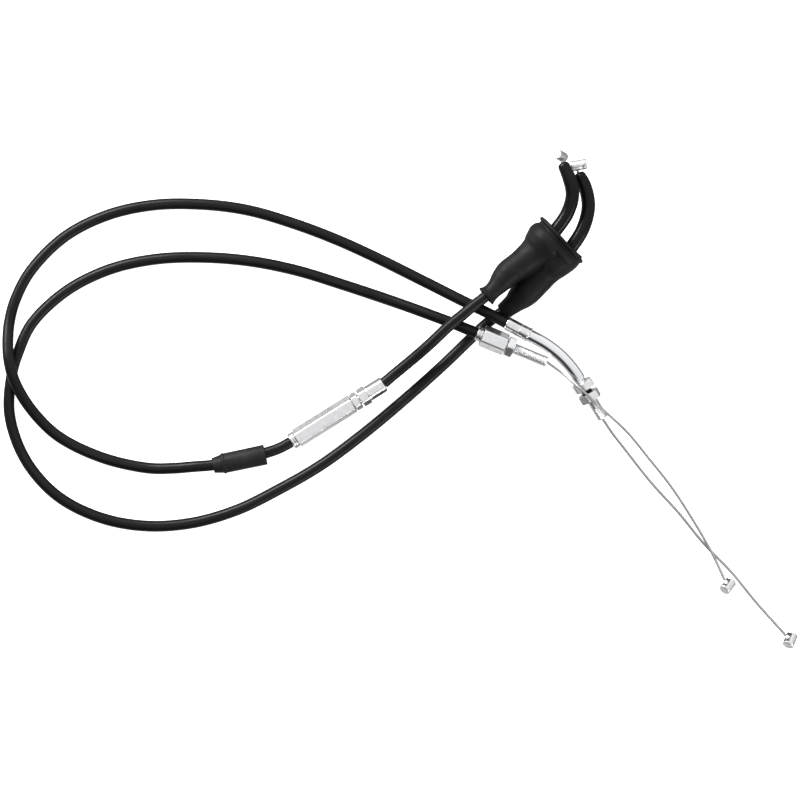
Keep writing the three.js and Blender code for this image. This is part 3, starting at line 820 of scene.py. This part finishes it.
elbow_tube = merge("pull_elbow_pipe", elbow_tube, elbow_step, elbow_thread, elbow_mouth)
stands_for(elbow_tube, ROOT, "chrome_tube", "pull_carb_elbow")
for name, middle, turn, body, node in (
        ("carb_nut_first", -20.8, 0.45, "carb_nut_upper", "pull_carb_nut_upper"),
        ("carb_nut_second", -14, -0.25, "carb_nut_lower", "pull_carb_nut_lower")):
    bracket_nut = nut(name, elbow_end, elbow_way, middle - NUT_HALF_HEIGHT,
                      middle + NUT_HALF_HEIGHT, NUT_FLATS, turn=turn)
    stands_for(bracket_nut, body, "zinc_plate", node)

# ---------------------------------------------------------------- return cable's carburettor end
return_ferrule = turned("return_crimp_ferrule", return_at, return_way, [
    (-3.4, 3.05), (-3.4, 3.55), (-3.1, 3.92), (-2.3, 3.95), (-2.05, 3.5), (-1.55, 3.5), (-1.3, 3.95),
    (-0.4, 3.95), (-0.3, 3.7), (-0.3, 2.6), (0.3, 2.6),
], SMOOTH_ZINC)
stands_for(return_ferrule, ROOT, "zinc_plate", "return_carb_ferrule")
adjuster_hex = turned("adjuster_hex", return_at, return_way, [
    (0, 3.2), *hex_profile(0, 13.6, NUT_FLATS), (13.6, 2.9),
], HEX_ZINC, 72, hex_section(NUT_FLATS), ease=0)
adjuster_rod = threaded("adjuster_rod", return_at, return_way, 13.4, 37.4)
adjuster_mouth = turned("adjuster_mouth", return_at, return_way,
                        [(35.4, 1.0), (37.42, 1.0), (37.42, 1.35), (37.1, 1.5)], ZINC, 32, ease=0)
adjuster = merge("return_adjuster_rod", adjuster_hex, adjuster_rod, adjuster_mouth)
stands_for(adjuster, "return_adjuster", "zinc_plate", "return_carb_adjuster")
return_nut = nut("return_rod_nut", return_at, return_way, 14.3, 18.2, NUT_FLATS, turn=math.pi / 6)
stands_for(return_nut, "return_adjuster_lock_nut", "zinc_plate", "return_lock_nut")


# ---------------------------------------------------------------- nipples
def drum(name, centre, axis, radius, length, material=CAST):
    """A barrel with rounded rims and a shallow ring turned into each end."""
    half = length / 2
    end = [(0, 0.02), (0, radius * 0.55), (0.12, radius * 0.62), (0.12, radius * 0.8),
           (0, radius * 0.86), (0, radius - 0.35), (0.35, radius)]
    profile = [(-half + depth, r) for depth, r in end] + [(half - depth, r) for depth, r in end[::-1]]
    return turned(name, centre, axis, profile, material, 56, ease=0.14)


def boss(name, centre, direction, profile, material=CAST):
    return turned(name, centre, direction, profile, material, 32, ease=0.08)


def carb_nipple(name, route, centre, axis, body, node):
    """A cast barrel with a shallow window where its wire comes in, and the wire's solder in it. The
    window's cut faces take a dark cast colour as painted shade.
    """
    centre, axis = np.array(centre, float), unit(axis)
    wire_in = unit(np.array(route[-1]) - np.array(route[-2]))
    obj = drum("drum", centre, axis, *CARB_NIPPLE)
    window_way = np.array((-0.646, 0.602, 0.472))
    window_way = unit(window_way - axis * (window_way @ axis))
    across = np.cross(window_way, axis)
    low, high = -2.6, 2.7
    corners = [centre + axis * a + across * b + window_way * c
               for c in (1.75, 4.5) for a, b in ((low, -2.3), (high, -2.3), (high, 2.3), (low, 2.3))]
    rings = np.array(corners).reshape(2, 4, 3)
    outward = np.cross(axis, across) @ window_way > 0
    # Painted shade: the cutter's dark material is passed to the window's cut faces.
    cutter = skin("window", rings if outward else rings[:, ::-1], SHADE_CAST)
    cut = obj.modifiers.new("window", "BOOLEAN")
    cut.operation = "DIFFERENCE"
    cut.solver = "EXACT"
    cut.material_mode = "TRANSFER"
    cut.object = cutter
    applied(obj)
    bpy.data.objects.remove(cutter)
    seat = centre - wire_in * 2.2
    solder = boss("solder", seat, wire_in, [
        (-1.1, 0.76), (-0.9, 0.95), (-0.4, 1.15), (0.2, 1.5), (0.9, 1.75), (1.4, 0.02)])
    obj = merge(name, obj, solder)
    stands_for(obj, body, "cast_nipple", node)
    return obj


pull_drum = carb_nipple("pull_barrel_nipple", PULL_WIRE_ROUTE, (209.2, -128.7, 4.65),
                        (-0.366, -0.785, 0.5), "pull_carb_end", "pull_carb_nipple")
return_drum = carb_nipple("return_barrel_nipple", RETURN_WIRE_ROUTE, (175.8, -99.6, 4.65),
                          (-0.557, -0.663, 0.5), "return_carb_end", "return_carb_nipple")
for wire, line, length, end in ((pull_wire, pull_line, pull_length, pull_drum),
                                (return_wire, return_line, return_length, return_drum)):
    row(line[0])
    row(line[::4])

# ---------------------------------------------------------------- throttle end
def throttle_drum(name, tip, way, axis, along, body, node, eye=None):
    """A throttle nipple off its elbow's tip, with a soldered eye on the side that eye points to. The
    groove round the eye and the solder in it are drawn dark as painted shade.
    """
    axis = unit(axis)
    centre = np.array(tip) + unit(way) * (THROTTLE_NIPPLE[0] + 1.4) + along * axis
    obj = drum(name, centre, axis, *THROTTLE_NIPPLE, THROTTLE_CAST)
    if eye is not None:
        side = unit(np.array(eye) - axis * (np.array(eye) @ axis))
        seat = centre + axis * 2.1 + side * 2.75
        rim = boss("rim", seat, side, [
            (-1.2, 1.8), (0.1, 1.8), (0.22, 1.65), (0.1, 1.4), (-1.2, 1.4)])
        # Painted shade: the groove and the solder in the eye are drawn dark.
        groove = boss("groove", seat, side, [
            (-0.9, 1.5), (-0.12, 1.5), (-0.12, 0.6), (-0.9, 0.6)], PAINTED_SHADE)
        solder = boss("solder", seat, side, [
            (-0.9, 0.85), (-0.1, 0.8), (0.12, 0.45), (0.16, 0.02)], SHADE_CAST)
        obj = merge(name, obj, rim, groove, solder)
    stands_for(obj, body, "cast_nipple", node)


throttle_drum("pull_throttle_drum", PULL_ELBOW_ROUTE[-1], PULL_THROTTLE_EXIT,
              (-0.49, 0.21, 0.866), 0.3, "pull_throttle_end", "pull_throttle_nipple")
throttle_drum("return_throttle_drum", RETURN_ELBOW_ROUTE[-1], RETURN_THROTTLE_EXIT,
              (0.983, 0.181, 0), 1.2, "return_throttle_end", "return_throttle_nipple",
              eye=(0.2, -0.5, 0.84))


def throttle_strand(name, route, way, node):
    """The strand inside an elbow, drawn out of its tip with the nipple."""
    out = unit(way)
    tip = np.array(route[-1], float)
    line = respaced(np.vstack([catmull(route), tip + out * 2.2]), STRAND_STEP)
    obj = strand_tube(name, line[int(len(line) * 0.5):], node)
    tuple(row(tip - out * 3.0))
    tuple(row(tip + out * 1.0))
    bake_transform(obj)


throttle_strand("pull_throttle_strand", PULL_ELBOW_ROUTE, PULL_THROTTLE_EXIT,
                "pull_throttle_wire")
throttle_strand("return_throttle_strand", RETURN_ELBOW_ROUTE, RETURN_THROTTLE_EXIT,
                "return_throttle_wire")


def moulded_elbow(name, route, node, narrow):
    """A moulded pipe that thins to a round tip over its last narrow millimetres."""
    line = respaced(catmull(route), 0.5)
    total = lengths(line)[-1]

    def radius(distance, _around):
        length, depth = TIP_DOME
        neck = np.clip((distance - (total - narrow)) / narrow, 0, 1)
        dome = np.clip((distance - (total - length)) / length, 0, 1)
        return ELBOW_RADIUS - NECKING * neck - depth * (1 - np.sqrt(np.clip(1 - dome**2, 0, 1)))

    stands_for(tube(name, line, radius, 56, MOULDING, sharp=50), ROOT, "elbow_moulding", node)


moulded_elbow("pull_moulded_elbow", PULL_ELBOW_ROUTE, "pull_throttle_elbow", 9)
moulded_elbow("return_moulded_elbow", RETURN_ELBOW_ROUTE, "return_throttle_elbow", 7)


def end_cap(name, route, elbow_route, node):
    start, end = np.array(route[0], float), np.array(elbow_route[0], float)
    length = np.linalg.norm(end - start)
    obj = turned(name, start, end - start, [
        (0.3, FERRULE_BORE), (0.3, 3.3), (0.8, 3.6), (length - 2.2, 3.65), (length - 2.2, 3.95),
        (length - 0.6, 3.95), (length - 0.4, 3.7), (length - 0.4, 1.5)], ZINC, 48)
    stands_for(obj, ROOT, "zinc_plate", node)


end_cap("pull_end_cap", UPPER_ROUTE, PULL_ELBOW_ROUTE, "pull_throttle_ferrule")
end_cap("return_end_cap", RETURN_ROUTE, RETURN_ELBOW_ROUTE, "return_throttle_ferrule")

# ---------------------------------------------------------------- boot
MOUTH = np.array((87.1, 86.3, 0.0))
BOOT_BACK = np.array((-0.737, -0.676, 0.0))
BOOT_ACROSS = np.array((0.676, -0.737, 0.0))
PULL_LEG = [
    (0, -4.2, 14.8, 10.2), (3.2, -4.3, 14.8, 10.4), (4.8, -4.3, 14.8, 11.6),
    (8.8, -4.4, 14.8, 12.1), (12.5, -4.5, 14.8, 10.7), (16, -4.5, 14.8, 9.1),
    (25.8, -5.2, 15, 7.6), (33.4, -6.1, 15.3, 7.2), (36.5, -5.9, 15.4, 6.9),
    (39.5, -5.6, 15.6, 6.3), (43, -5.1, 15.9, 5.3), (46.5, -4.9, 16.1, 4.7), (49.3, -4.9, 16.4, 5),
    (51.3, -5, 16.6, 6),
]
RETURN_LEG = [
    (0, 4.2, 12.3, 10.2), (3.2, 4.6, 12.2, 10.4), (4.8, 4.9, 12.1, 11.2), (6, 5, 12, 11.3),
    (10.5, 5.2, 11.4, 10.7), (18, 5.6, 9.9, 9.2),
    (25.7, 6.9, 8.8, 8.2), (34, 7.7, 7.9, 7.7), (39, 7.6, 7.1, 6.8), (43, 7.6, 6.3, 5.6),
    (50, 7.2, 5, 4.6),
]


def boot_point(u, v, z):
    return MOUTH + u * BOOT_BACK + v * BOOT_ACROSS + np.array((0, 0, z))


def limb(name, stations, change, stretch):
    """A round limb of changing radius through (along, across, height, radius) stations."""
    smooth = catmull(stations, 10)
    centres = np.array([boot_point(u, v, z) for u, v, z, _ in smooth])
    radii = smooth[:, 3] + change
    first = centres[0] - unit(centres[1] - centres[0]) * stretch
    last = centres[-1] + unit(centres[-1] - centres[-2]) * stretch
    if stretch:
        centres = np.vstack([first, centres, last])
        radii = np.concatenate([[radii[0]], radii, [radii[-1]]])
    side, top = carried_frames(centres)
    angle = np.arange(56) * 2 * math.pi / 56
    rings = (centres[:, None] + (radii[:, None] * np.cos(angle))[..., None] * side[:, None]
             + (radii[:, None] * np.sin(angle))[..., None] * top[:, None])
    return skin(name, rings, BOOT_RUBBER)


MOUTH_RADIUS = 11.2


def mouth_block(name, rows, base=0.0):
    """The round-ended outline of the mouth. rows gives (distance along the boot, change of size)."""
    (v0, z0), (v1, z1) = PULL_LEG[0][1:3], RETURN_LEG[0][1:3]
    lean = math.atan2(z1 - z0, v1 - v0)
    half = np.linspace(0, math.pi, 33)
    outline = [(v, z, lean + start + a)
               for v, z, start in ((v1, z1, -math.pi / 2), (v0, z0, math.pi / 2)) for a in half]
    rings = []
    for u, change in rows:
        radius = MOUTH_RADIUS + change + base
        rings.append([boot_point(u, v + radius * math.cos(a), z + radius * math.sin(a))
                      for v, z, a in outline][::-1])
    return skin(name, np.array(rings), BOOT_RUBBER)


def fused(name, parts, voxel, rounds):
    """One closed skin round overlapping bodies, with its creases rounded."""
    obj = merge(name, *parts)
    remesh = obj.modifiers.new("skin", "REMESH")
    remesh.mode = "VOXEL"
    remesh.voxel_size = voxel * MM
    remesh.use_smooth_shade = True
    smooth = obj.modifiers.new("round", "SMOOTH")
    smooth.factor = 0.5
    smooth.iterations = rounds
    return applied(obj)


outer = fused("throttle_boot_skin", [
    mouth_block("lip", [(0, 0.3), (0.25, 0.8), (0.9, 1.15), (1.5, 1.15), (2.0, 0.6), (2.3, -0.5),
                        (3.3, -0.55), (4.0, 0.1), (4.8, 0.5), (6.2, 0.75), (7.2, 0.75), (7.8, 0.3),
                        (8.8, -0.6)]),
    limb("pull_leg", PULL_LEG, 0, 0),
    limb("return_leg", RETURN_LEG, 0, 0),
], 0.35, 5)
inner = fused("boot_hollow", [
    mouth_block("mouth_hollow", [(-3, 0), (8.5, 0)], -BOOT_WALL),
    limb("pull_hollow", PULL_LEG, -BOOT_WALL, 3),
    limb("return_hollow", RETURN_LEG, -BOOT_WALL, 3),
    tube("pull_passage", respaced(catmull(UPPER_ROUTE[:6]), 1), PASSAGE_RADIUS, 32,
         BOOT_RUBBER),
    tube("return_passage", respaced(catmull(RETURN_ROUTE[:5]), 1), PASSAGE_RADIUS, 32,
         BOOT_RUBBER),
], 0.45, 2)
hollow = outer.modifiers.new("hollow", "BOOLEAN")
hollow.operation = "DIFFERENCE"
hollow.solver = "EXACT"
hollow.object = inner
applied(outer)
bpy.data.objects.remove(inner)
outer.data.materials.clear()
outer.data.materials.append(BOOT_RUBBER)
outer.data.polygons.foreach_set("use_smooth", [True] * len(outer.data.polygons))
stands_for(outer, ROOT, "boot_rubber", "throttle_boot")
